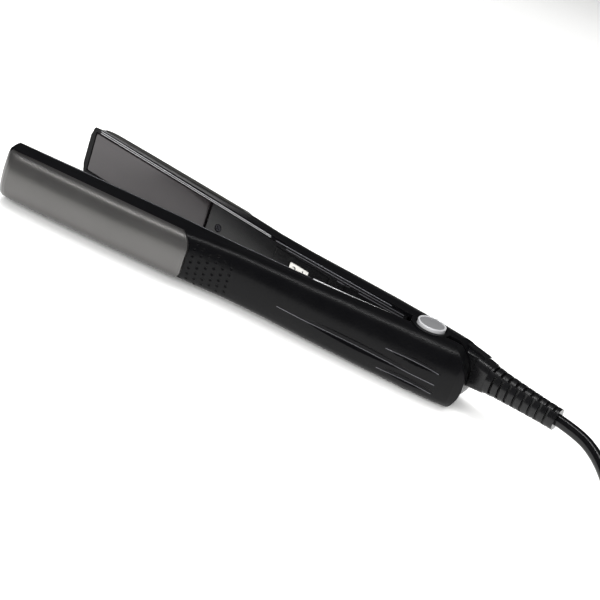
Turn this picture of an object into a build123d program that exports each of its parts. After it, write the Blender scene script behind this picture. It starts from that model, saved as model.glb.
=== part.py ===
"""Flat iron lying on its side, arms open in the horizontal plane.

Frame: Z is the hinge axis and points up, the tips point along -X, the cord leaves along +X.
The origin is where the hinge axis meets the surface that the iron lies on.
Every arm piece is drawn on the closed iron, on the +Y side of the closing plane, with Z measured
from the arm's middle. It is then mirrored where it belongs to the free arm, and swung open.
"""

import os
from math import atan, atan2, cos, degrees, hypot, radians, sin, sqrt, tan

from build123d import *

os.makedirs("parts", exist_ok=True)

# ---------------------------------------------------------------- driving dimensions (mm)
arm_reach = 240.0  # hinge axis to the tip's corner
tip_bulge = 2.3
rear_reach = 27.0
opening = 16.7  # degrees between the arms at rest
mid_height = 16.9  # arm's middle above the surface
face_gap = 0.35  # each arm's inner face to the closing plane
pocket_depth = 4.6

plate_rear = -147.5
plate_tip = -237.0
plate_half = 12.0
plate_travel = 0.6
plate_back = 3.0
insert_rear = -127.0
insert_tip = -237.8
insert_half = 12.6

boss_radius = 10.6
ear_radius = 10.0
ear_top = 13.1
ear_thickness = 3.0
ear_gap = 0.3
boss_top = 16.6
pin_radius = 2.5
bush_radius = 4.0
running_gap = 0.06
cap_radius = 7.6
cap_top = 18.2
cap_recess = 8.3

cover_rear = -14.0
screw_x = -138.0
rocker_x = -82.0
rocker_length = 12.0
rocker_width = 11.0
rocker_throw = 12.0  # degrees

relief_y = 9.8
relief_z = 4.0
relief_end = 75.0
relief_pitch = 4.3
cord_radius = 3.25

pin_spacing = 19.0
plug_pin_radius = 2.0
plug_pin_length = 19.0

coil_centre = (190.0, -14.1)
coil_outer = 47.0
coil_inner = 27.0

half_opening = opening / 2
plate_middle = (plate_rear + plate_tip) / 2
cover_front = 1.2
cover_back = 3.2
carrier_front = 10.4
carrier_back = 11.6
carrier_posts = (-215.0, -168.0)
recess_floor = boss_top - 1.0
panel_tip = -99.0
panel_rear = -62.5
rocker_pivot = 5.0
trunnion_radius = 1.0
trunnion_reach = 6.6
spring_radius = 5.2
spring_wire = 0.7
spring_pitch = 1.35
neck_radius = 4.4
collar_front = 19.0
collar_end = 36.0
rib_end = 31.5
slot_width = 1.3

# The arm's inner opening: x and half height of its straight sides.
cord_pocket = [(-237.4, 12.35), (-147.0, 12.35), (-122.0, 12.0), (-103.0, 11.6), (-55.0, 12.6), (-13.0, 14.2)]
free_pocket = [(-237.4, 12.35), (-147.0, 12.35), (-122.0, 12.0), (-103.0, 11.6), (-55.0, 11.5), (-13.0, 11.3)]


# ---------------------------------------------------------------- placing and saving
def on_cord_arm(piece):
    """Swing a piece drawn on the closed iron to the cord arm's open place."""
    return Location((0, 0, mid_height), (0, 0, -half_opening)) * piece


def on_free_arm(piece):
    """Mirror a piece across the closing plane and swing it to the free arm's open place."""
    return Location((0, 0, mid_height), (0, 0, half_opening)) * mirror(piece, about=Plane.XZ)


def save(piece, name):
    piece.label = name
    export_step(piece, f"parts/{name}.step")


# ---------------------------------------------------------------- outline across an arm
# Each station: x, half height of the inner face, shoulder y and z, depth of the back.
tip_stations = [
    (-230.0, 14.8, 8.0, 12.6, 17.5),
    (-205.0, 14.8, 8.8, 12.5, 18.6),
    (-170.0, 14.7, 9.8, 12.3, 19.4),
    (-142.0, 14.5, 10.6, 12.2, 19.6),
    (-124.0, 14.0, 9.0, 13.2, 17.8),
    (-103.0, 13.6, 6.5, 13.7, 16.2),
    (-80.0, 13.5, 6.0, 14.2, 17.0),
]
cord_handle_stations = [
    (-55.0, 14.4, 6.0, 15.1, 18.6),
    (-28.0, 15.5, 6.0, 16.0, 19.8),
    (0.0, 16.2, 6.0, 16.6, 20.3),
    (15.0, 16.2, 6.0, 16.6, 20.2),
    (22.5, 16.2, 6.0, 16.4, 18.8),
    (28.2, 15.6, 6.0, 15.8, 15.6),
]
free_handle_stations = [
    (-55.0, 13.4, 6.0, 15.1, 18.6),
    (-28.0, 13.2, 6.0, 16.0, 19.8),
    (0.0, 13.2, 6.0, 16.6, 20.3),
    (15.0, 13.2, 6.0, 16.6, 20.2),
    (22.5, 13.2, 6.0, 16.4, 18.8),
    (28.2, 12.8, 6.0, 15.8, 15.6),
]
insert_stations = [
    (-230.0, 14.0, 8.0, 13.2, 18.7),
    (-205.0, 14.0, 8.8, 13.1, 19.9),
    (-170.0, 14.0, 9.8, 12.9, 20.7),
    (-124.0, 14.0, 11.1, 12.8, 20.0),
]


def rounded_tip(reach, shoulder_z, depth):
    """Stations that round the back off towards the tip along a quarter ellipse."""
    stations = []
    for angle in (20, 32, 44, 56, 68, 80):
        share = sin(radians(angle))
        x = -231.0 - reach * cos(radians(angle))
        stations.append((x, 14.8, 2.0 + 5.8 * share, shoulder_z + 0.5 * (1 - share), depth * share))
    return stations


def arm_section(x, lip, shoulder_y, shoulder_z, depth, start=face_gap):
    """D-shaped outline across an arm: inner face, two sloping sides and a curved back."""
    with BuildSketch(Plane.YZ.offset(x)) as outline:
        with BuildLine():
            face = Line((start, 0), (start, lip))
            side = Line(face @ 1, (shoulder_y, shoulder_z))
            knuckle = (shoulder_y + 0.72 * (depth - shoulder_y), shoulder_z)
            Bezier(side @ 1, knuckle, (depth, 0.62 * shoulder_z), (depth, 0))
            mirror(about=Plane.XZ)
        make_face()
    return outline.sketch


def inset(stations, side_wall, back_wall, first, last):
    """Stations of the hollow inside a shell, from the first x to the last."""
    hollow = []
    for x, _, shoulder_y, shoulder_z, depth in stations:
        if first <= x <= last:
            height = shoulder_z - side_wall
            hollow.append((x, height, shoulder_y, height, depth - back_wall))
    return hollow


def side_outline():
    """The arm seen along Y: a bulging tip, and a rear end rounded far more above than below."""
    reach = 25.0
    with BuildSketch(Plane.XZ.offset(-30)) as outline:
        with BuildLine():
            low_corner = ThreePointArc(
                (-arm_reach + 2.4, -15.2), (-arm_reach + 0.8, -14.2), (-arm_reach, -11.8)
            )
            tip = ThreePointArc(low_corner @ 1, (-arm_reach - tip_bulge, 0), (-arm_reach, 11.8))
            high_corner = ThreePointArc(tip @ 1, (-arm_reach + 0.8, 14.2), (-arm_reach + 2.4, 15.2))
            top = Polyline(high_corner @ 1, (-arm_reach + 2.4, reach), (-4.0, reach))
            shoulder = Line(top @ 1, (rear_reach - 12.0, 16.8))
            rounded = ThreePointArc(shoulder @ 1, (rear_reach - 3.4, 9.8), (rear_reach, 0))
            rear = ThreePointArc(rounded @ 1, (rear_reach - 0.9, -9.3), (rear_reach - 5.2, -16.9))
            Polyline(rear @ 1, (rear_reach - 7.0, -reach), (-arm_reach + 2.4, -reach), low_corner @ 0)
        make_face()
    return outline.sketch


def pocket(heights, rear):
    """Prism that opens the inner face, its sides through the given half heights."""
    upper = [(x, z) for x, z in heights]
    lower = [(x, -z) for x, z in reversed(heights)]
    with BuildPart() as opening_prism:
        with BuildSketch(Plane.XZ.offset(2)):
            with BuildLine():
                Polyline(*upper, *lower, close=True)
            make_face()
        extrude(amount=pocket_depth + 2, dir=(0, 1, 0))
    return opening_prism.part


def ring(outer, inner, bottom, top):
    """Ring about the hinge axis."""
    with BuildPart() as band:
        with BuildSketch(Plane.XY.offset(bottom)):
            Circle(outer)
            if inner > 0:
                Circle(inner, mode=Mode.SUBTRACT)
        extrude(amount=top - bottom)
    return band.part


def both_sides(piece):
    """A piece and its copy mirrored through the arm's middle plane."""
    return [piece, mirror(piece, about=Plane.XY)]


def rear_wedge():
    """Behind the hinge the inner faces are cut back, so that the open arms don't meet."""
    length = 45.0
    with BuildPart() as wedge:
        with BuildSketch(Plane.XY.offset(-40)):
            with BuildLine():
                Polyline(
                    (0, -20), (length, -20), (length, face_gap + length * tan(radians(half_opening + 0.5))),
                    (0, face_gap), close=True,
                )
            make_face()
        extrude(amount=80)
    return wedge.part


# Each scoop in the back: its two ends as x and z, how wide it is, and how deep.
scoops = [
    ((-80.0, -0.8), (18.0, -2.8), 5.0, 1.6),
    ((-18.0, 4.4), (18.0, 3.4), 3.6, 1.3),
    ((-19.0, -7.6), (18.0, -8.4), 4.2, 1.4),
]
dimple_radius = 0.9
dimple_rise = 0.35
dimple_pitch = 4.2
dimple_row = 3.4


def depth_at(back, x, z):
    hits = back.find_intersection_points(Axis((x, 40, z), (0, -1, 0)))
    return max(point.Y for point, _ in hits)


def dimple_places(back):
    """Staggered rows of balls on the back behind the insert, fewer rows further along."""
    places = []
    for column in range(-1, 6):
        x = insert_rear + 3.2 + column * dimple_pitch
        for row in range(-4, 5):
            z = (row + 0.25 + 0.5 * (column % 2)) * dimple_row
            beside_insert = column < 0 and abs(z) < 9.0
            if abs(z) < 12.0 - 0.6 * column and not beside_insert:
                depth = depth_at(back, x, z)
                places.append((x, depth + dimple_rise, z))
    return places


def make_back(stations):
    """The whole outer shape of one arm, solid."""
    with BuildPart() as body:
        loft(sections=[arm_section(*station) for station in stations], ruled=True)
        extrude(side_outline(), amount=60, dir=(0, -1, 0), mode=Mode.INTERSECT)
    return body.part


def make_scoop(back, start, end, width, depth):
    """Long spindle sunk into the back, so that it leaves a leaf-shaped scoop."""
    length = hypot(end[0] - start[0], end[1] - start[1])
    radius = (width**2 / 4 + depth**2) / (2 * depth)
    middle = ((start[0] + end[0]) / 2, (start[1] + end[1]) / 2)
    rise_ends = (depth_at(back, *start) + depth_at(back, *end)) / 2
    bulge = depth_at(back, *middle) - rise_ends
    # The spindle is thinner than its middle by depth + bulge where the scoop ends.
    half_spindle = length / 2 * sqrt(radius / (depth + bulge))
    slope = (depth_at(back, *end) - depth_at(back, *start)) / length
    with BuildPart() as spindle:
        with BuildSketch(Plane.XY):
            with BuildLine():
                arc = ThreePointArc((-half_spindle, 0), (0, radius), (half_spindle, 0))
                Line(arc @ 1, arc @ 0)
            make_face()
        revolve(axis=Axis.X)
    tilt_in_side_view = -degrees(atan2(end[1] - start[1], end[0] - start[0]))
    turned = Rotation(0, tilt_in_side_view, degrees(atan(slope))) * spindle.part
    return Location((middle[0], rise_ends + bulge - depth + radius, middle[1])) * turned


def make_posts():
    """Posts that stand on the shell's back wall and carry the plate carrier and the cover."""
    with BuildPart() as posts:
        for x in carrier_posts:
            with BuildSketch(Plane.XZ.offset(-carrier_back)):
                with Locations((x, 0)):
                    Circle(2.4)
            extrude(amount=-(17.2 - carrier_back))
        with BuildSketch(Plane.XZ.offset(-cover_back)):
            with Locations((screw_x, 0)):
                Circle(3.0)
                Circle(1.15, mode=Mode.SUBTRACT)
        extrude(amount=-(18.0 - cover_back))
    return posts.part


def make_shell(stations, back, heights, is_cord_arm):
    hollow = inset(stations, 2.1, 2.3, -236.5, 16.0)
    with BuildPart() as shell:
        add(back)
        with Locations(*dimple_places(back)):
            Sphere(dimple_radius, mode=Mode.SUBTRACT)
        for scoop in scoops:
            add(make_scoop(back, *scoop), mode=Mode.SUBTRACT)
        sections = [arm_section(*station, start=-3) for station in hollow]
        loft(sections=sections, ruled=True, mode=Mode.SUBTRACT)
        add(pocket(heights, cover_rear + 1), mode=Mode.SUBTRACT)
        add(make_posts())
        add(rear_wedge(), mode=Mode.SUBTRACT)
        if is_cord_arm:
            add(ring(ear_radius + 0.7, 0, -ear_top - ear_gap, ear_top + ear_gap), mode=Mode.SUBTRACT)
            add(both_sides(ring(boss_radius, 0, ear_top + ear_gap, boss_top)))
            add(both_sides(ring(cap_recess, 0, recess_floor, boss_top + 3)), mode=Mode.SUBTRACT)
            add(ring(pin_radius, 0, -20, 20), mode=Mode.SUBTRACT)
            add(relief_neck(neck_radius, 10.0, 30.0), mode=Mode.SUBTRACT)
        else:
            add(both_sides(ring(boss_radius + 0.4, 0, ear_top, 30)), mode=Mode.SUBTRACT)
            add(both_sides(make_ear(back)))
            add(ring(bush_radius, 0, -20, 20), mode=Mode.SUBTRACT)
    return shell.part


def make_ear(back):
    """Hinge ear of the free arm: a disc about the hinge axis and a web out to the shell's wall."""
    with BuildPart() as web:
        with BuildSketch(Plane.XY.offset(ear_top - ear_thickness)):
            with Locations((0, 10)):
                Rectangle(2 * ear_radius - 3, 20)
        extrude(amount=ear_thickness)
        add(back, mode=Mode.INTERSECT)
    with BuildPart() as ear:
        add(ring(ear_radius, 0, ear_top - ear_thickness, ear_top))
        add(web.part)
    return ear.part


def make_insert(back):
    """Satin outer insert: a thin skin that stands proud of the shell's back."""
    with BuildPart() as insert:
        stations = rounded_tip(10.4, 13.2, 18.6) + insert_stations
        loft(sections=[arm_section(*station) for station in stations], ruled=True)
        with BuildSketch(Plane.XY.offset(-30)):
            with BuildLine():
                Polyline(
                    (-260, -5), (-110, -5), (-110, 11.5), (-170, 9.8), (-228, 8.0), (-236, 6.6), (-244, 3.5), (-260, 3.5),
                    close=True,
                )
            make_face()
        extrude(amount=60, mode=Mode.SUBTRACT)
        with BuildSketch(Plane.XZ) as window:
            with Locations(((insert_tip + insert_rear) / 2, 0)):
                Rectangle(insert_rear - insert_tip, 2 * insert_half)
            corners = window.vertices().group_by(Axis.X)
            fillet(corners[-1], 7.5)
            fillet(corners[0], 2.0)
        extrude(amount=-40, mode=Mode.INTERSECT)
        add(back, mode=Mode.SUBTRACT)
    return insert.part


# ---------------------------------------------------------------- plates and what backs them
def block(length, height, near, far, x, z=0.0, corner=0.0):
    """Flat block between two depths, centred at x and z."""
    with BuildPart() as slab:
        with BuildSketch(Plane.XZ.offset(-near)):
            with Locations((x, z)):
                if corner > 0:
                    RectangleRounded(length, height, corner)
                else:
                    Rectangle(length, height)
        extrude(amount=-(far - near))
    return slab.part


def make_plate():
    length = plate_rear - plate_tip
    with BuildPart() as plate:
        add(block(length, 2 * plate_half, 0.15, plate_back, plate_tip + length / 2, corner=1.5))
        chamfer(plate.faces().sort_by(Axis.Y)[0].edges(), 0.55)
    return plate.part


def make_heater():
    """Aluminium channel with the PTC stones inside, drawn as one block with cable stubs."""
    with BuildPart() as heater:
        add(block(74, 14, plate_back, 6.2, plate_middle))
        add(block(66, 3, plate_back, 4.4, plate_middle, z=4.2), mode=Mode.SUBTRACT)
        add(block(66, 3, plate_back, 4.4, plate_middle, z=-4.2), mode=Mode.SUBTRACT)
    return heater.part


def make_clip():
    """Spring steel clip over the heater: a spine with four fingers down its sides."""
    with BuildPart() as clip:
        add(block(70, 8, 6.2, 6.8, plate_middle))
        for x in (-26, -9, 9, 26):
            add(block(7, 16, 6.2, 6.8, plate_middle + x))
            for side in (-1, 1):
                add(block(7, 0.6, 3.6, 6.8, plate_middle + x, z=side * 7.7))
    return clip.part


def make_cushions():
    """Silicone cushions that the plate floats on."""
    with BuildPart() as cushions:
        for x in (-26, 0, 26):
            add(block(9, 9, 8.8, carrier_front, plate_middle + x, corner=2.0))
        chamfer(cushions.faces().filter_by(Axis.Y).sort_by(Axis.Y)[:3].edges(), 0.3)
    return cushions.part


def make_carrier():
    """Tray on the shell's posts, ribbed along both sides."""
    with BuildPart() as carrier:
        add(block(72, 14, carrier_front, carrier_back, plate_middle, corner=2.0))
        for side in (-1, 1):
            add(block(72, 1.0, 8.9, carrier_front, plate_middle, z=side * 6.5))
    return carrier.part


# ---------------------------------------------------------------- inner covers, screws, switch
def cover_blank(heights):
    upper = [(x, z) for x, z in heights]
    lower = [(x, -z) for x, z in reversed(heights)]
    with BuildPart() as blank:
        with BuildSketch(Plane.XZ.offset(-cover_front)):
            with BuildLine():
                Polyline(*upper, *lower, close=True)
            make_face()
        extrude(amount=-(cover_back - cover_front))
        chamfer(blank.faces().sort_by(Axis.Y)[0].edges(), 0.35)
    return blank.part


def make_cover(heights, is_cord_arm):
    """Inner cover with a grooved panel, a screw hole and, on the cord arm, the switch opening."""
    panel_middle = (panel_tip + panel_rear) / 2
    with BuildPart() as cover:
        add(cover_blank(heights))
        with BuildPart(mode=Mode.PRIVATE) as groove:
            add(block(panel_rear - panel_tip, 19.4, cover_front - 1, cover_front + 0.7, panel_middle))
            inner = panel_rear - panel_tip - 1.2
            add(block(inner, 17.6, cover_front - 2, cover_front + 2, panel_tip + 0.3 + inner / 2), mode=Mode.SUBTRACT)
        add(groove.part, mode=Mode.SUBTRACT)
        with BuildSketch(Plane.XZ.offset(-cover_front + 1)):
            with Locations((screw_x, 0)):
                Circle(2.3)
        extrude(amount=-1.7, mode=Mode.SUBTRACT)
        with BuildSketch(Plane.XZ):
            with Locations((screw_x, 0)):
                Circle(1.15)
        extrude(amount=-10, mode=Mode.SUBTRACT)
        if is_cord_arm:
            add(block(rocker_length + 1.3, rocker_width + 0.5, 0, 5, rocker_x, corner=0.6), mode=Mode.SUBTRACT)
            add(block(37.5, 21.0, 0, cover_front + 0.9, -34.5, corner=1.5), mode=Mode.SUBTRACT)
            add(block(19.0, 17.0, 0, 5, -27.0, corner=1.5), mode=Mode.SUBTRACT)
            with BuildSketch(Plane.XZ):
                for x in (-48.5, -44.7, -40.9):
                    with Locations(Location((x, 3.0), 62)):
                        SlotOverall(11.0, 1.4)
            extrude(amount=-5, mode=Mode.SUBTRACT)
    return cover.part


def make_screw():
    """Cross-head screw that holds the inner cover to its post."""
    with BuildPart() as screw:
        with BuildSketch(Plane.XZ.offset(-cover_front - 0.1)):
            with Locations((screw_x, 0)):
                Circle(2.0)
        extrude(amount=-0.6)
        chamfer(screw.faces().sort_by(Axis.Y)[0].edges(), 0.25)
        with BuildSketch(Plane.XZ.offset(-cover_front - 0.7)):
            with Locations((screw_x, 0)):
                Circle(1.05)
        extrude(amount=-8.5)
        for turn in (45, 135):
            with BuildSketch(Plane.XZ):
                with Locations(Location((screw_x, 0), turn)):
                    Rectangle(2.4, 0.6)
            extrude(amount=-(cover_front + 0.5), mode=Mode.SUBTRACT)
    return screw.part


def make_rocker():
    """Rocker key with a hollowed crown, pressed down at its off end."""
    half = rocker_length / 2
    with BuildPart() as rocker:
        with BuildSketch(Plane.XY.offset(-rocker_width / 2)):
            with BuildLine():
                crown = ThreePointArc((-half, 0.6), (0, 1.5), (half, 0.6))
                Polyline(crown @ 1, (half - 0.9, rocker_pivot + 1.4), (0.9 - half, rocker_pivot + 1.4), crown @ 0)
            make_face()
        extrude(amount=rocker_width)
        fillet(rocker.edges().filter_by(Axis.Z).sort_by(Axis.Y)[:2], 0.4)
        with BuildSketch(Plane.XY.offset(-trunnion_reach)):
            with Locations((0, rocker_pivot)):
                Circle(trunnion_radius)
        extrude(amount=2 * trunnion_reach)
    tilted = rocker.part.rotate(Axis((0, rocker_pivot, 0), (0, 0, 1)), rocker_throw / 2)
    return Location((rocker_x, 0, 0)) * tilted


def make_switch_body():
    with BuildPart() as body:
        add(block(rocker_length + 5, rocker_width + 3, cover_back, 11.0, rocker_x))
        add(block(rocker_length + 1.3, rocker_width + 0.5, 0, 8.8, rocker_x), mode=Mode.SUBTRACT)
        for x in (-4, 4):
            add(block(0.8, 4.8, 11.0, 13.2, rocker_x + x))
        with BuildSketch(Plane.XY.offset(-trunnion_reach - 0.1)):
            with Locations((rocker_x, rocker_pivot)):
                Circle(trunnion_radius + running_gap)
        extrude(amount=2 * trunnion_reach + 0.2, mode=Mode.SUBTRACT)
    return body.part


def make_board():
    """Temperature board behind the hinge side of the cover, with its parts."""
    with BuildPart() as board:
        add(block(34, 18, 7.0, 8.4, -48.0))
        add(block(9, 7, 8.4, 12.6, -58.0, z=-3.0))
        add(block(6, 5, 8.4, 11.4, -46.0, z=5.0))
        with BuildSketch(Plane.XZ.offset(-8.4)):
            with Locations((-37.0, 0)):
                Circle(3.2)
        extrude(amount=-4.6)
    return board.part


def make_fuse():
    """Thermal fuse: a small barrel with domed ends beside the heater's rear end."""
    with BuildPart() as fuse:
        with BuildSketch(Plane.YZ.offset(-151.0)):
            with Locations((7.0, 0)):
                Circle(1.7)
        extrude(amount=9.0)
        chamfer(fuse.edges().filter_by(GeomType.CIRCLE), 0.5)
    return fuse.part


def rod(start, end, radius):
    """Straight round rod between two points."""
    with BuildPart() as straight:
        with BuildLine() as line:
            Line(start, end)
        with BuildSketch(Plane(origin=start, z_dir=line.line % 0)):
            Circle(radius)
        sweep(path=line.line)
    return straight.part


def make_leads(first, last, depth, heights, radius=0.85):
    """A pair of insulated leads that run side by side along the arm."""
    leads = []
    for z in heights:
        leads.append(rod((first, depth, z), (last, depth, z), radius))
    return Compound(children=leads)


# ---------------------------------------------------------------- hinge
def make_caps(face, rim_top):
    """Round cap in the boss recess and the bright rim round it; both for one end of the pin."""
    with BuildPart() as cap:
        add(ring(cap_radius - 1.1, 0, recess_floor, face))
        fillet(cap.edges().filter_by(GeomType.CIRCLE).sort_by(Axis.Z)[-1], 0.25)
    with BuildPart() as rim:
        add(ring(cap_radius, cap_radius - 1.1, recess_floor, rim_top))
        fillet(rim.edges().filter_by(GeomType.CIRCLE).group_by(Axis.Z)[-1], 0.3)
    return cap.part, rim.part


def make_spring():
    """Torsion spring round the pin, its turns drawn as rings that touch, and one leg."""
    with BuildPart() as spring:
        with Locations(*[(0, 0, (turn - 2) * spring_pitch) for turn in range(5)]):
            Torus(spring_radius, spring_wire)
        top_turn = 2 * spring_pitch
        add(rod((0, spring_radius, top_turn), (-24, spring_radius + 1.0, top_turn), spring_wire))
    return spring.part


def make_spring_leg():
    depth = spring_radius + 0.2
    level = -2 * spring_pitch - 2 * spring_wire - 0.25
    return rod((2.0, depth, level), (-24, depth + 1.0, level), spring_wire)


# ---------------------------------------------------------------- strain relief
def relief_neck(radius, first, last):
    with BuildPart() as neck:
        with BuildSketch(Plane.YZ.offset(first)):
            with Locations((relief_y, relief_z)):
                Circle(radius)
        extrude(amount=last - first)
    return neck.part


def slot_ring(x, first_angle, floor):
    """Two boxes on opposite sides of the relief's axis; they leave a core of the given radius."""
    with BuildPart() as slots:
        with BuildSketch(Plane.YZ.offset(x)):
            with Locations(Location((relief_y, relief_z), first_angle)):
                with Locations((floor + 4, 0), (-floor - 4, 0)):
                    Rectangle(8, 9.4)
        extrude(amount=slot_width)
    return slots.part


def make_collar(back):
    """Flared collar that hugs the rear wall: slots underneath, a rib on top, a neck inside the arm."""
    with BuildPart() as collar:
        for x, width, height in ((collar_front, 15.0, 18.8), (28.0, 14.0, 17.4), (collar_end, 13.4, 15.4)):
            with BuildSketch(Plane.YZ.offset(x)):
                with Locations((relief_y, relief_z)):
                    RectangleRounded(width, height, 4.6)
        loft(ruled=True)
        with BuildSketch(Plane.XZ.offset(-relief_y + 2.4)):
            with BuildLine():
                low = relief_z + 6.0
                Polyline(
                    (collar_front, low), (collar_front, low + 5.0), (rib_end, low + 3.6), (rib_end, low), close=True
                )
            make_face()
        extrude(amount=-4.8)
        for x in (24.4, 28.8, 33.2):
            with BuildSketch(Plane.XY.offset(relief_z - 12)):
                with Locations((x, relief_y)):
                    Rectangle(slot_width, 9.4)
            extrude(amount=6.6, mode=Mode.SUBTRACT)
        add(back, mode=Mode.SUBTRACT)
        with BuildSketch(Plane.XY.offset(-20)):
            with BuildLine():
                Polyline((0, -20), (28.0, -20), (28.0, 5.3), (0, 1.0), close=True)
            make_face()
        extrude(amount=50, mode=Mode.SUBTRACT)
        add(relief_neck(neck_radius, 13.0, 27.5))
    return collar.part


def make_boot():
    """Tapering sleeve, slotted in turn through its top and bottom and through its two sides."""
    with BuildPart() as boot:
        with BuildSketch(Plane.XY):
            with BuildLine():
                Polyline(
                    (collar_end, 0), (collar_end, 7.9), (43.5, 7.15), (56.0, 6.45), (66.0, 6.0), (relief_end, 5.85),
                    (relief_end, 0), close=True,
                )
            make_face()
        revolve(axis=Axis.X)
    sleeve = Location((0, relief_y, relief_z)) * boot.part
    with BuildPart() as slotted:
        add(sleeve)
        for turn in range(9):
            x = collar_end + 1.2 + turn * relief_pitch
            floor = 5.4 - 0.11 * turn
            add(slot_ring(x, 90, floor), mode=Mode.SUBTRACT)
            if turn < 8:
                add(slot_ring(x + relief_pitch / 2, 0, floor - 0.9), mode=Mode.SUBTRACT)
    return slotted.part


# ---------------------------------------------------------------- mains lead
cord_route = [
    (75.6, -1.2, 20.9), (88.0, -3.0, 20.3), (99.8, -8.4, 17.2), (109.3, -17.4, 12.8), (117.7, -28.6, 8.2),
    (127.3, -40.0, 4.6), (139.9, -49.9, 3.25), (155.9, -55.8, 3.25), (171.8, -57.3, 3.25), (186.0, -57.6, 3.25),
]
tail_route = [
    (155.3, -42.2, 9.9), (163.2, -53.9, 10.4), (175.9, -63.1, 10.4), (191.8, -67.1, 8.8), (208.5, -65.0, 6.3),
    (224.0, -57.6, 4.2), (236.4, -45.4, 3.25), (244.1, -29.6, 3.25), (246.5, -12.1, 3.25), (243.1, 5.2, 3.25),
    (234.5, 20.7, 3.25), (221.6, 32.7, 3.9), (207.6, 40.2, 5.3), (192.0, 43.8, 6.85),
]


def bend_radii(route):
    """Largest even arc at each corner: 0.45 of the shorter run over the tangent of half the turn."""
    radii = []
    for before, corner, after in zip(route, route[1:], route[2:]):
        come = Vector(corner) - Vector(before)
        go = Vector(after) - Vector(corner)
        half_turn = radians(come.get_angle(go)) / 2
        radii.append(0.45 * min(come.length, go.length) / tan(half_turn))
    return radii


def make_tube(route, name):
    radii = bend_radii(route)
    print(name, "bend radii", [round(radius, 1) for radius in radii])
    with BuildPart() as tube:
        with BuildLine() as path:
            FilletPolyline(*route, radius=radii)
        with BuildSketch(Plane(origin=path.line @ 0, z_dir=path.line % 0)):
            Circle(cord_radius)
        sweep(path=path.line)
    section = 3.14159265 * cord_radius**2
    length = sum(edge.length for edge in path.edges())
    print(name, "length", round(length, 1), "volume over section", round(tube.part.volume / section, 1))
    return tube.part


def make_coil():
    """Outer shape of the wound lead: three turns side by side, in two layers."""
    with BuildPart() as coil:
        with BuildSketch(Plane.XY):
            with Locations(coil_centre):
                Circle(coil_outer)
                Circle(coil_inner, mode=Mode.SUBTRACT)
        extrude(amount=4 * cord_radius)
        fillet(coil.edges(), 2.8)
    return coil.part


def make_tie():
    """Strap round the wound turns, lying on the surface underneath them."""
    width = coil_outer - coil_inner + 2.2
    height = 4 * cord_radius + 0.9
    with BuildPart() as tie:
        with BuildSketch(Plane.YZ.offset(coil_centre[0] - 4)):
            with Locations((coil_centre[1] + (coil_outer + coil_inner) / 2, height / 2)):
                RectangleRounded(width, height, 2.4)
                RectangleRounded(width - 1.8, height - 1.8, 1.8, mode=Mode.SUBTRACT)
        extrude(amount=8)
    return tie.part


def plug_plane(distance):
    """Plane across the plug, this far from the end of the lead."""
    last = Vector(tail_route[-1])
    before = Vector(tail_route[-2])
    heading = Vector(last.X - before.X, last.Y - before.Y, 0).normalized()
    across = Vector(-heading.Y, heading.X, 0)
    return Plane(origin=last + heading * distance, x_dir=across, z_dir=heading)


def make_plug():
    """Flat two-pin plug with its own short ribbed relief."""
    with BuildPart() as plug:
        for distance, width, height in ((16, 13.0, 10.5), (22, 19.0, 13.0), (32, 30.0, 13.7), (50, 31.0, 13.7)):
            with BuildSketch(plug_plane(distance)):
                RectangleRounded(width, height, 4.2)
        loft(ruled=True)
        with BuildSketch(plug_plane(0)):
            Circle(4.4)
        with BuildSketch(plug_plane(17)):
            Circle(5.2)
        loft()
        for turn in range(4):
            with BuildSketch(plug_plane(1.6 + 3.6 * turn)):
                Circle(5.3 + 0.2 * turn)
            extrude(amount=1.9)
    return plug.part


def make_plug_pins():
    pins = []
    for side in (-1, 1):
        with BuildPart() as pin:
            with BuildSketch(plug_plane(50)):
                with Locations((side * pin_spacing / 2, 0)):
                    Circle(plug_pin_radius)
            extrude(amount=plug_pin_length)
            tip = plug_plane(50 + plug_pin_length).origin
            fillet(pin.edges().filter_by(GeomType.CIRCLE).sort_by_distance(tip)[0], 1.2)
        pins.append(pin.part)
    return Compound(children=pins)


# ---------------------------------------------------------------- building the arms
for side, swing in (("cord_arm", on_cord_arm), ("free_arm", on_free_arm)):
    is_cord_arm = side == "cord_arm"
    handle = cord_handle_stations if is_cord_arm else free_handle_stations
    heights = cord_pocket if is_cord_arm else free_pocket
    stations = rounded_tip(10.6, 12.6, 17.3) + tip_stations + handle
    back = make_back(stations)
    if is_cord_arm:
        cord_stations = stations
    cover_heights = [(x + 0.7 if x < -140 else x, z - 0.35) for x, z in heights[1:-1]]
    cover_heights.append((cover_rear, heights[-1][1] - 0.4))
    save(swing(make_shell(stations, back, heights, is_cord_arm)), f"{side}_shell")
    save(swing(make_insert(back)), f"{side}_insert")
    save(swing(make_cover(cover_heights, is_cord_arm)), f"{side}_inner_cover")
    save(swing(make_screw()), f"{side}_cover_screw")
    save(swing(make_plate()), f"{side}_plate")
    save(swing(make_heater()), f"{side}_heater")
    save(swing(make_clip()), f"{side}_heater_clip")
    save(swing(block(73, 14, 6.8, 7.8, plate_middle)), f"{side}_insulation_pad")
    save(swing(make_cushions()), f"{side}_cushions")
    save(swing(make_carrier()), f"{side}_plate_carrier")
    save(swing(make_fuse()), f"{side}_thermal_fuse")
    first = -66.0 if is_cord_arm else -12.0
    save(swing(make_leads(first, -150.0, 12.3, (-4.5, 4.5))), f"{side}_heater_leads")

save(on_cord_arm(make_switch_body()), "switch_body")
save(on_cord_arm(make_rocker()), "switch_rocker")
save(on_cord_arm(make_board()), "circuit_board")
save(on_cord_arm(make_leads(13.0, -31.0, 9.6, (relief_z - 1.4, relief_z + 1.4), 0.95)), "mains_leads")
save(on_cord_arm(block(5.0, 9.0, 12.0, 14.0, 6.0, z=relief_z, corner=1.0)), "cord_clamp")

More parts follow.
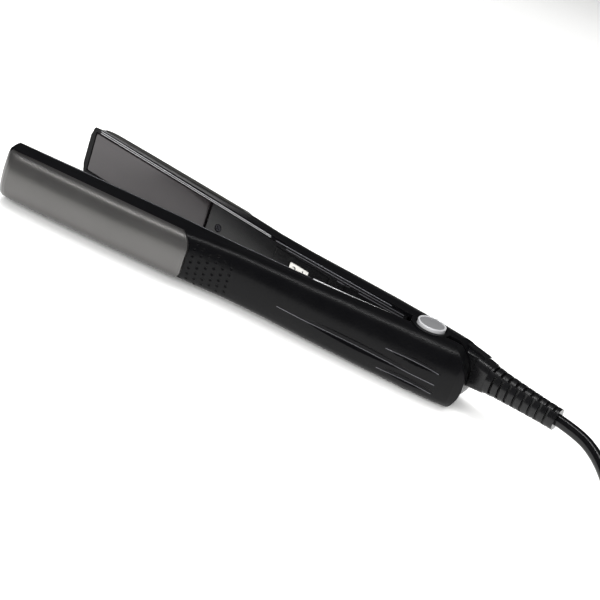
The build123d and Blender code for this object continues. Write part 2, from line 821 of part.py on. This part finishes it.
# ---------------------------------------------------------------- building the hinge
save(on_cord_arm(ring(pin_radius, 0, -recess_floor, recess_floor)), "hinge_pin")
bushes = both_sides(ring(bush_radius, pin_radius + running_gap, ear_top - ear_thickness, ear_top))
save(on_free_arm(Compound(children=bushes)), "hinge_bushes")
cap, rim = make_caps(cap_top - 0.25, cap_top)
save(on_cord_arm(cap), "upper_cap")
save(on_cord_arm(rim), "upper_cap_rim")
cap, rim = make_caps(mid_height, mid_height)
save(on_cord_arm(mirror(cap, about=Plane.XY)), "lower_cap")
save(on_cord_arm(mirror(rim, about=Plane.XY)), "lower_cap_rim")
save(on_cord_arm(make_spring()), "opening_spring")
save(on_free_arm(make_spring_leg()), "opening_spring_free_leg")

# ---------------------------------------------------------------- building the lead
save(on_cord_arm(make_collar(make_back(cord_stations))), "strain_relief_collar")
save(on_cord_arm(make_boot()), "strain_relief_boot")
save(make_tube(cord_route, "mains_cord"), "mains_cord")
save(make_coil(), "mains_cord_coil")
save(make_tie(), "coil_tie")
save(make_tube(tail_route, "mains_cord_tail"), "mains_cord_tail")
save(make_plug(), "plug_body")
save(make_plug_pins(), "plug_pins")

for side in (-1, 1):
    plane = plug_plane(50)
    middle = plane.origin + plane.x_dir * (side * pin_spacing / 2) + plane.z_dir * (plug_pin_length - 1.2) / 2
    print("plug pin", side, "middle", middle, "along", plane.z_dir)
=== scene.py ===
from math import cos, pi, radians, sin

import bpy
from mathutils import Matrix, Vector


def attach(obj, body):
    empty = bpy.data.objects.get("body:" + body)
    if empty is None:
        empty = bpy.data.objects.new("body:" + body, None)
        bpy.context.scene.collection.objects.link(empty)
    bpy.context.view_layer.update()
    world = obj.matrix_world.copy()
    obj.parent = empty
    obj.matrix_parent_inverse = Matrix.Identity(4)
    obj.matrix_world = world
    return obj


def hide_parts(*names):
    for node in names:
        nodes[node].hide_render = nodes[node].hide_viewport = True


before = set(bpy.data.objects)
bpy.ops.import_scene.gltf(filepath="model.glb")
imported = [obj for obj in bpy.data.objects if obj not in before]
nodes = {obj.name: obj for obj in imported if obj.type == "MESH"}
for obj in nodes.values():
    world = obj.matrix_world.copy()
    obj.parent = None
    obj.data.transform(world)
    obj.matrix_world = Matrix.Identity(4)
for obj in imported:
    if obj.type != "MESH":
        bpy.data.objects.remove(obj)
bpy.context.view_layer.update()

# A flat iron lying on its side with open arms. Metres, in the CAD model's frame: Z is the hinge axis,
# the arms' tips point along -X, and the lead leaves along +X.

mm = 0.001
half_opening = radians(8.35)
mid_height = 16.9 * mm
cord_radius = 3.25 * mm

for thing in bpy.context.selected_objects:
    thing.select_set(False)


# ------------------------------------------------------------------ camera
def place_camera():
    """A 72 mm lens that looks down on the iron from the front right, tilted about its own axis."""
    azimuth = radians(18.6)
    elevation = radians(23.5)
    roll = radians(20.58)
    distance = 0.6288
    target = Vector((-0.0696, 0.0, mid_height - 0.0052))
    back = Vector((sin(azimuth) * cos(elevation), -cos(azimuth) * cos(elevation), sin(elevation)))
    right = (-back).cross(Vector((0, 0, 1))).normalized()
    up = right.cross(-back)
    rolled_right = cos(roll) * right + sin(roll) * up
    rolled_up = cos(roll) * up - sin(roll) * right
    lens = bpy.data.cameras.new("studio_camera")
    lens.lens = 72.0
    lens.sensor_width = 36.0
    camera = bpy.data.objects.new("studio_camera", lens)
    turn = Matrix((rolled_right, rolled_up, back)).transposed().to_4x4()
    camera.matrix_world = Matrix.Translation(target + back * distance) @ turn
    bpy.context.scene.collection.objects.link(camera)
    bpy.context.scene.camera = camera


place_camera()

# ------------------------------------------------------------------ mains lead
# The route's points are those of the CAD tubes, in millimetres.
cord_route = [
    (75.6, -1.2, 20.9), (88.0, -3.0, 20.3), (99.8, -8.4, 17.2), (109.3, -17.4, 12.8), (117.7, -28.6, 8.2),
    (127.3, -40.0, 4.6), (139.9, -49.9, 3.25), (155.9, -55.8, 3.25), (171.8, -57.3, 3.25),
]
tail_route = [
    (155.3, -42.2, 9.9), (163.2, -53.9, 10.4), (175.9, -63.1, 10.4), (191.8, -67.1, 8.8), (208.5, -65.0, 6.3),
    (224.0, -57.6, 4.2), (236.4, -45.4, 3.25), (244.1, -29.6, 3.25), (246.5, -12.1, 3.25), (243.1, 5.2, 3.25),
    (234.5, 20.7, 3.25), (221.6, 32.7, 3.9), (207.6, 40.2, 5.3), (192.0, 43.8, 6.85),
]
coil_centre = (190.0, -14.1)
# Each turn of the coil: its radius, its height, and the radius that it moves over to near its end.
coil_turns = [
    (43.5, 3.25, 37.0),
    (37.0, 3.25, 30.5),
    (30.5, 3.25, 30.5),
    (30.5, 9.75, 37.0),
    (37.0, 9.75, 43.5),
    (43.5, 9.75, 43.5),
]
points_per_turn = 16


# How far along its move a turn is at each of its last points: sideways, and up to the second layer.
sideways_share = {12: 0.08, 13: 0.28, 14: 0.55, 15: 0.84}
climb_share = {10: 0.1, 11: 0.3, 12: 0.5, 13: 0.7, 14: 0.9, 15: 1.0}


def coil_points():
    """Turns side by side in two layers; each moves over to the next between its last points."""
    points = []
    for number, (radius, height, next_radius) in enumerate(coil_turns):
        climbs = number == 2
        is_last = number == len(coil_turns) - 1
        for step in range(14 if is_last else points_per_turn):
            reach = radius + sideways_share.get(step, 0.0) * (next_radius - radius)
            level = height + climbs * climb_share.get(step, 0.0) * 2 * cord_radius / mm
            angle = 2 * pi * step / points_per_turn - pi / 2
            points.append((coil_centre[0] + reach * cos(angle), coil_centre[1] + reach * sin(angle), level))
    return points


def smooth_curve(name, points, radius, resolution=8):
    """A round tube of the given radius along one smooth curve, whose control points are in millimetres.

    The radius is set at the points and the bevel is one metre deep, because Blender reckons a curve's
    box from its points' radius.
    """
    curve = bpy.data.curves.new(name, "CURVE")
    curve.dimensions = "3D"
    curve.bevel_depth = 1.0
    curve.bevel_resolution = 5
    curve.resolution_u = resolution
    curve.use_fill_caps = True
    spline = curve.splines.new("NURBS")
    spline.points.add(len(points) - 1)
    for control, point in zip(spline.points, points):
        control.co = (point[0] * mm, point[1] * mm, point[2] * mm, 1.0)
        control.radius = radius
    spline.order_u = 3
    spline.use_endpoint_u = True
    tube = bpy.data.objects.new(name, curve)
    bpy.context.scene.collection.objects.link(tube)
    return tube


mains_lead = smooth_curve("mains_lead_jacket", cord_route + coil_points() + tail_route, cord_radius)
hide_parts("mains_cord", "mains_cord_coil", "mains_cord_tail")
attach(mains_lead, "cord_arm")


# ------------------------------------------------------------------ materials
def linear(code):
    """sRGB hex colour to the linear values that the shaders use."""
    values = [int(code[place:place + 2], 16) / 255 for place in (1, 3, 5)]
    values = [v / 12.92 if v <= 0.04045 else ((v + 0.055) / 1.055) ** 2.4 for v in values]
    return (*values, 1.0)


def add(tree, kind, links=None, **settings):
    """Adds a node, sets its properties or input sockets, and links its inputs."""
    node = tree.nodes.new(kind)
    for name, value in settings.items():
        if hasattr(node, name):
            setattr(node, name, value)
        else:
            node.inputs[name.replace("_", " ")].default_value = value
    for name, source in (links or {}).items():
        tree.links.new(source, node.inputs[name])
    return node


def surface(name, light, dark, roughness, spread=0.05, metallic=0.0, grain=0.5, bump=0.02, mottle=14.0,
            stretch=(1, 1, 1), bevel=0.0, coat=0.0, coat_roughness=0.1, ior=1.5):
    """A moulded or rolled surface.

    The colour drifts between two near tones over mottle millimetres, the roughness drifts with it,
    and a grain of the given size, in millimetres, stands up by the bump, in millimetres.
    """
    material = bpy.data.materials.new(name)
    material.use_nodes = True
    tree = material.node_tree
    tree.nodes.clear()
    place = add(tree, "ShaderNodeTexCoord").outputs["Object"]
    drift = add(tree, "ShaderNodeTexNoise", {"Vector": place}, Scale=1000 / mottle, Detail=3.0)
    tone = add(tree, "ShaderNodeMix", {"Factor": drift.outputs["Fac"]}, data_type="RGBA")
    tone.inputs[6].default_value = linear(dark)
    tone.inputs[7].default_value = linear(light)
    gloss = add(
        tree, "ShaderNodeMapRange", {"Value": drift.outputs["Fac"]},
        To_Min=roughness - spread, To_Max=roughness + spread,
    )
    stretched = add(tree, "ShaderNodeMapping", {"Vector": place}, Scale=stretch)
    grit = add(
        tree, "ShaderNodeTexNoise", {"Vector": stretched.outputs["Vector"]}, Scale=1000 / grain, Detail=2.0
    )
    relief = add(tree, "ShaderNodeBump", {"Height": grit.outputs["Fac"]}, Distance=bump * mm, Strength=1.0)
    if bevel > 0:
        soft_edge = add(tree, "ShaderNodeBevel", Radius=bevel * mm)
        soft_edge.samples = 4
        tree.links.new(soft_edge.outputs["Normal"], relief.inputs["Normal"])
    look = {
        "Base Color": tone.outputs[2],
        "Roughness": gloss.outputs["Result"],
        "Normal": relief.outputs["Normal"],
    }
    shader = add(tree, "ShaderNodeBsdfPrincipled", look, Metallic=metallic)
    if metallic < 1:
        shader.inputs["IOR"].default_value = ior
    if coat > 0:
        shader.inputs["Coat Weight"].default_value = coat
        shader.inputs["Coat Roughness"].default_value = coat_roughness
    add(tree, "ShaderNodeOutputMaterial", {"Surface": shader.outputs["BSDF"]})
    return material


# Injection-moulded ABS with a fine spark texture: black, with a broad soft sheen.
black_abs = surface(
    "black_satin_abs", "#070708", "#040405", 0.3, 0.03, grain=0.35, bump=0.005, bevel=0.45, ior=1.22
)
# Metallic lacquer on the inserts: fine grey flake with a silky sheen.
grey_lacquer = surface(
    "grey_metallic_lacquer", "#5c5b5a", "#545352", 0.36, 0.03, metallic=0.8, grain=0.3, bump=0.004,
    mottle=22, bevel=0.4,
)
# The inner covers are the same ABS, polished in the mould: a clearer sheen.
inner_abs = surface("inner_cover_abs", "#121213", "#0c0c0d", 0.22, 0.04, grain=0.6, bump=0.003, bevel=0.3)
# Bright trim: the upper cap's rim, and also the brightest painted highlight lines, thin tubes laid along
# edges where the black plastic catches the light. A grey metallic finish: the other painted highlight lines.
bright_trim_and_painted_highlight = surface("bright_trim_and_painted_highlight", "#c9c9cb", "#b9b9bb", 0.2, 0.03, metallic=0.45, grain=0.8, bump=0.001)
painted_highlight_grey = surface(
    "painted_highlight_grey_finish", "#6c6c70", "#5c5c60", 0.18, 0.03, metallic=0.6, grain=0.8, bump=0.001
)
# Black zinc-plated steel of the countersunk screws.
black_zinc = surface(
    "black_zinc_plated_steel", "#3c3c40", "#2c2c30", 0.26, 0.05, metallic=1.0, grain=0.4, bump=0.002,
    bevel=0.2,
)
# Ceramic-coated aluminium plate: dark, glassy, with faint polishing lines along it.
ceramic_coat = surface(
    "ceramic_coated_plate", "#2f2b2d", "#292627", 0.16, 0.03, metallic=0.55, grain=0.5, bump=0.002,
    stretch=(0.08, 1, 1), bevel=0.35, coat=0.6, coat_roughness=0.05,
)
# Nickel plating: the plug's pins and the lower cap's rim.
nickel = surface(
    "nickel_plated_steel", "#d8d8d6", "#c4c4c2", 0.16, 0.04, metallic=1.0, grain=0.4, bump=0.002, bevel=0.15
)
# Turned and satin-finished steel of the hinge caps.
satin_steel = surface(
    "satin_steel_cap", "#9b9b9d", "#858587", 0.34, 0.05, metallic=0.6, grain=0.25, bump=0.004, bevel=0.2
)
# Spring steel, oiled and plain.
spring_steel = surface("spring_steel", "#8a8a88", "#70706e", 0.3, 0.06, metallic=1.0, grain=0.4, bump=0.003)
# Extruded aluminium of the heater channels, with lines along the extrusion.
aluminium = surface(
    "extruded_aluminium", "#b9babb", "#a6a7a9", 0.35, 0.05, metallic=1.0, grain=0.4, bump=0.004,
    stretch=(0.1, 1, 1),
)
# Polyimide film: amber and shiny.
polyimide = surface("polyimide_film", "#b5701c", "#96590f", 0.22, 0.05, grain=1.5, bump=0.01)
# Moulded silicone rubber: brick red, dull.
silicone = surface("silicone_rubber", "#8f3a2c", "#7c3024", 0.55, 0.05, grain=0.5, bump=0.01)
# Glass-filled nylon of the carriers, the switch body and the tie: black and dull.
nylon = surface("black_nylon", "#1a1a1a", "#111112", 0.5, 0.06, grain=0.5, bump=0.012, bevel=0.15)
# White polycarbonate rocker, polished.
white_pc = surface("white_polycarbonate", "#f2f1ec", "#e6e4dd", 0.22, 0.04, grain=0.8, bump=0.003, bevel=0.3)
# Epoxy glass laminate with green solder mask.
laminate = surface("green_laminate", "#1e5a32", "#174a28", 0.3, 0.06, grain=0.8, bump=0.01)
# Acetal bearing bushes: off-white, waxy.
acetal = surface("acetal", "#dcdad0", "#cfcdc2", 0.35, 0.05, grain=0.6, bump=0.004)
# Glass braid over the heater leads: off-white, with a coarse braid.
glass_braid = surface("glass_braid", "#d2cdbf", "#a9a393", 0.7, 0.05, grain=0.6, bump=0.08, mottle=1.2)
# PVC insulation on the mains leads.
blue_pvc = surface("blue_pvc", "#1f4f9c", "#1a4488", 0.35, 0.05, grain=0.6, bump=0.004)
# Soft PVC of the strain relief and the plug: black, fine matte texture.
soft_pvc = surface(
    "soft_black_pvc", "#0c0c0d", "#070708", 0.28, 0.05, grain=0.5, bump=0.01, bevel=0.3, ior=1.35
)
# PVC jacket of the lead: black and glossy, slightly uneven.
jacket_pvc = surface(
    "pvc_lead_jacket", "#09090a", "#050506", 0.13, 0.04, grain=1.2, bump=0.004, mottle=9, ior=1.35
)
# Black ink of the printed switch marks.
mark_ink = surface("mark_ink", "#1c1c1e", "#151517", 0.5, 0.03, grain=0.4, bump=0.002)

material_of = {
    "shell": black_abs, "insert": grey_lacquer, "inner_cover": inner_abs, "cover_screw": black_zinc,
    "plate": ceramic_coat, "heater": aluminium, "heater_clip": spring_steel, "insulation_pad": polyimide,
    "cushions": silicone, "plate_carrier": nylon, "thermal_fuse": aluminium, "heater_leads": glass_braid,
    "switch_body": nylon, "switch_rocker": white_pc, "circuit_board": laminate, "mains_leads": blue_pvc,
    "cord_clamp": nylon, "hinge_pin": spring_steel, "hinge_bushes": acetal, "upper_cap": satin_steel,
    "upper_cap_rim": bright_trim_and_painted_highlight, "lower_cap": satin_steel, "lower_cap_rim": nickel,
    "opening_spring": spring_steel, "opening_spring_free_leg": spring_steel,
    "strain_relief_collar": soft_pvc, "strain_relief_boot": soft_pvc, "coil_tie": nylon,
    "plug_body": soft_pvc, "plug_pins": nickel,
}


def coat(piece, material):
    piece.data.materials.clear()
    piece.data.materials.append(material)


for name, node in nodes.items():
    plain_name = name.removeprefix("cord_arm_").removeprefix("free_arm_")
    if plain_name in material_of:
        coat(node, material_of[plain_name])
coat(mains_lead, jacket_pvc)


# ------------------------------------------------------------------ painted highlight lines and switch marks
points_per_highlight_tube = 12
points_per_line = 16
# Where the lines that look for a surface start, in the closed iron's millimetres.
above_arm = 30.0
before_face = -3.0
beyond_back = 40.0
downward = Vector((0, 0, -1))


def row_place(side, x, y, z):
    """A point of the closed iron, in millimetres with z from the arms' middle, in the open row frame.

    Side is +1 for the cord arm and -1 for the free arm.
    """
    turn = Matrix.Rotation(-side * half_opening, 3, "Z")
    return turn @ Vector((x, side * y, z)) * mm + Vector((0, 0, mid_height))


def away_from_middle(side):
    """The direction in the row frame from the closing plane out through an arm."""
    return row_place(side, 0, 1, 0) - row_place(side, 0, 0, 0)


def landing(node, start, aim):
    """Where a straight line from start in the direction aim first meets a CAD node."""
    hit, place, _, _ = node.ray_cast(start, aim.normalized())
    if not hit:
        raise ValueError(f"nothing under a bead on {node.name}")
    return place


def steps(first, last, count):
    """Evenly spaced values from the first to the last."""
    return [first + (last - first) * step / (count - 1) for step in range(count)]


def painted_highlight_tube(name, places, radius, body, finish):
    """A painted highlight line: a slender rounded tube of a bright finish through the given places, in
    metres, riding on its arm.
    """
    line = smooth_curve(name, [place / mm for place in places], radius * mm, resolution=6)
    line.data.bevel_resolution = 3
    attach(line, body)
    coat(line, finish)


def make_rocker_marks():
    """A ring and a bar printed thickly on the two ends of the rocker's crown."""
    outward = away_from_middle(1)
    facing = (-outward).to_track_quat("Z", "X").to_euler()
    for name, x in (("switch_mark_off", -84.8), ("switch_mark_on", -79.2)):
        place = landing(nodes["switch_rocker"], row_place(1, x, before_face, 3.0), outward)
        bpy.ops.object.select_all(action="DESELECT")
        if name == "switch_mark_off":
            bpy.ops.mesh.primitive_torus_add(
                major_radius=1.1 * mm, minor_radius=0.24 * mm, location=place, rotation=facing,
                major_segments=40, minor_segments=10,
            )
        else:
            bpy.ops.mesh.primitive_cylinder_add(
                radius=0.28 * mm, depth=2.6 * mm, location=place, vertices=20,
                rotation=Matrix.Rotation(-half_opening, 3, "Z").to_euler(),
            )
        mark = bpy.context.object
        mark.name = name
        bpy.ops.object.transform_apply(location=True, rotation=True, scale=True)
        bpy.ops.object.shade_smooth()
        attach(mark, "power_rocker")
        coat(mark, mark_ink)
        mark.select_set(False)


def make_lip_hairpin_highlight():
    """Twin painted highlight lines along the free arm's upper edge, thin bright tubes joined in a round turn
    just before the boss.
    """
    # The lip draws back from the closing plane towards the hinge.
    inner = [(x, 0.9 + 0.047 * (x + 64.0)) for x in steps(-64.0, -21.5, points_per_highlight_tube)]
    outline = inner + [(-19.6, 3.8)] + [(x, y + 1.8) for x, y in reversed(inner)]
    starts = [row_place(-1, x, y, above_arm) for x, y in outline]
    places = [landing(nodes["free_arm_shell"], start, downward) for start in starts]
    painted_highlight_tube("free_arm_lip_hairpin_highlight", places, 0.2, "free_arm", bright_trim_and_painted_highlight)


def make_face_highlights():
    """Painted highlight lines along the upper margin of the cord arm's inner face, thin grey metallic tubes
    which follow its cover's edge.
    """
    # The node that each painted highlight line lies on, where it starts and ends, and how far it is above the
    # edge.
    highlight_rows = [
        ("shell", -100.0, -24.0, 0.55),
        ("inner_cover", -93.0, -16.0, -1.2),
        ("inner_cover", -58.0, -16.0, -2.7),
    ]
    for number, (part, first, last, offset) in enumerate(highlight_rows):
        places = []
        for x in steps(first, last, points_per_highlight_tube):
            cover_edge = 11.8 + 0.03 * (x + 93.0)
            start = row_place(1, x, before_face, cover_edge + offset)
            places.append(landing(nodes[f"cord_arm_{part}"], start, away_from_middle(1)))
        painted_highlight_tube(f"cord_arm_face_highlight_line_{number + 1}", places, 0.3, "cord_arm", painted_highlight_grey)


def make_lip_highlights():
    """Fine painted highlight lines beside the plates, as thin shiny tubes: one on the free arm's upper edge,
    two on the cord arm's lip.
    """
    starts = [row_place(-1, x, 0.9, above_arm) for x in steps(-225.0, -66.0, points_per_line)]
    places = [landing(nodes["free_arm_shell"], start, downward) for start in starts]
    painted_highlight_tube("free_arm_lip_highlight_line", places, 0.16, "free_arm", painted_highlight_grey)
    for number, heights in enumerate([(12.9, 12.3), (14.0, 13.0)]):
        line = zip(steps(-234.0, -104.0, points_per_line), steps(*heights, points_per_line))
        starts = [row_place(1, x, before_face, z) for x, z in line]
        places = [landing(nodes["cord_arm_shell"], start, away_from_middle(1)) for start in starts]
        painted_highlight_tube(f"cord_arm_lip_highlight_line_{number + 1}", places, 0.16, "cord_arm", bright_trim_and_painted_highlight)


# Each scoop's painted highlight line: where it starts and ends, as x and z in the closed arm's own
# millimetres.
scoop_lines = [((-74.0, -1.6), (14.0, -3.4)), ((-15.0, 3.8), (14.0, 2.9)), ((-16.0, -8.3), (14.0, -9.0))]


def make_leaf_highlights(side, arm):
    """A fine painted highlight line, a thin grey metallic tube, along each leaf-shaped scoop in an arm's
    back.
    """
    for number, (start, end) in enumerate(scoop_lines):
        line = zip(steps(start[0], end[0], points_per_highlight_tube), steps(start[1], end[1], points_per_highlight_tube))
        starts = [row_place(side, x, beyond_back, z) for x, z in line]
        places = [landing(nodes[f"{arm}_shell"], start, -away_from_middle(side)) for start in starts]
        painted_highlight_tube(f"{arm}_leaf_highlight_line_{number + 1}", places, 0.2, arm, painted_highlight_grey)


make_rocker_marks()
make_lip_hairpin_highlight()
make_face_highlights()
make_lip_highlights()
make_leaf_highlights(1, "cord_arm")
make_leaf_highlights(-1, "free_arm")


# ------------------------------------------------------------------ studio
def make_floor():
    bpy.ops.mesh.primitive_plane_add(size=12, location=(0, 0, 0))
    floor = bpy.context.object
    floor.name = "studio_floor"
    coat(floor, surface("studio_paper", "#f7f7f6", "#f3f3f2", 0.8, 0.03, grain=3.0, bump=0.01, mottle=400))
    floor.select_set(False)


def softbox(name, place, aim, width, height, power, shows=True):
    """An area light; one that doesn't show lights the paper but isn't mirrored in the glossy parts."""
    lamp = bpy.data.lights.new(name, "AREA")
    lamp.shape = "RECTANGLE"
    lamp.size = width
    lamp.size_y = height
    lamp.energy = power
    box = bpy.data.objects.new(name, lamp)
    box.location = place
    box.rotation_euler = (Vector(aim) - Vector(place)).to_track_quat("-Z", "Y").to_euler()
    box.visible_glossy = shows
    bpy.context.scene.collection.objects.link(box)


make_floor()
# A wide ceiling panel whitens the paper with hardly a shadow.
softbox("ceiling_panel", (0, 0, 2.2), (0, 0, 0), 4.0, 4.0, 110, shows=False)
# A low panel in front clears the shadow at the foot of the near arm.
softbox("front_panel", (0.1, -1.9, 0.9), (0, 0, 0), 3.0, 1.2, 85, shows=False)
# A narrow softbox overhead draws the long band on the upper side of the arms.
softbox("overhead_softbox", (-0.1, 0.15, 1.5), (-0.1, 0.0, 0.0), 1.8, 0.3, 4)
# A thin strip close above draws the bright lines along the edges.
softbox("strip_light", (-0.1, 0.0, 0.9), (-0.1, 0.0, 0.0), 1.2, 0.04, 3.4)
world = bpy.data.worlds.new("studio_air")
world.use_nodes = True
world.node_tree.nodes["Background"].inputs["Color"].default_value = linear("#ffffff")
world.node_tree.nodes["Background"].inputs["Strength"].default_value = 0.06
bpy.context.scene.world = world
bpy.context.scene.view_settings.view_transform = "Standard"

bpy.context.view_layer.update()
